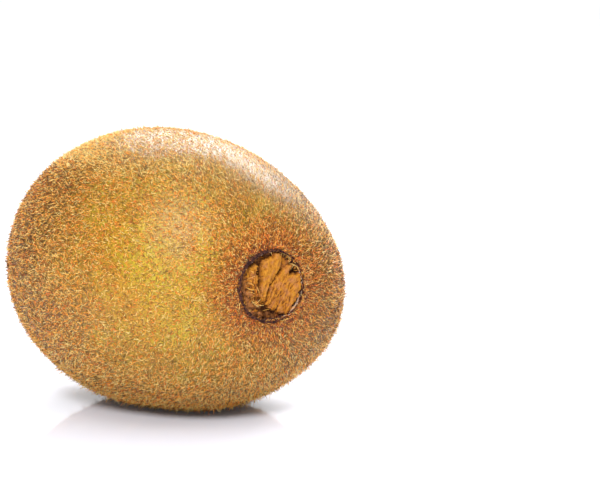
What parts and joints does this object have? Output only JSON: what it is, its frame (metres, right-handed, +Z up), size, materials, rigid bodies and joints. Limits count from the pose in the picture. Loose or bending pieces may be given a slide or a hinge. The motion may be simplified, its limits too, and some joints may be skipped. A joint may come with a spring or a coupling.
{
  "type": "kiwi fruit",
  "caption": "Whole oval kiwi fruit lying on its side, with hairy brown skin, a round stalk scar holding broken wood, and a dry blossom tip.",
  "frame": {"origin": "on the floor, under the middle of the box around the fruit as it lies on its side", "axes": "+X along the fruit towards the stalk end, +Y across it, +Z up"},
  "size_m": [0.0682, 0.0518, 0.0498],
  "materials": {
    "skin": "satin",
    "wood": "matte",
    "scar": "matte",
    "down": "matte"
  },
  "bodies": {
    "root": {"kiwi_fruit": "skin"}
  },
  "joints": []
}
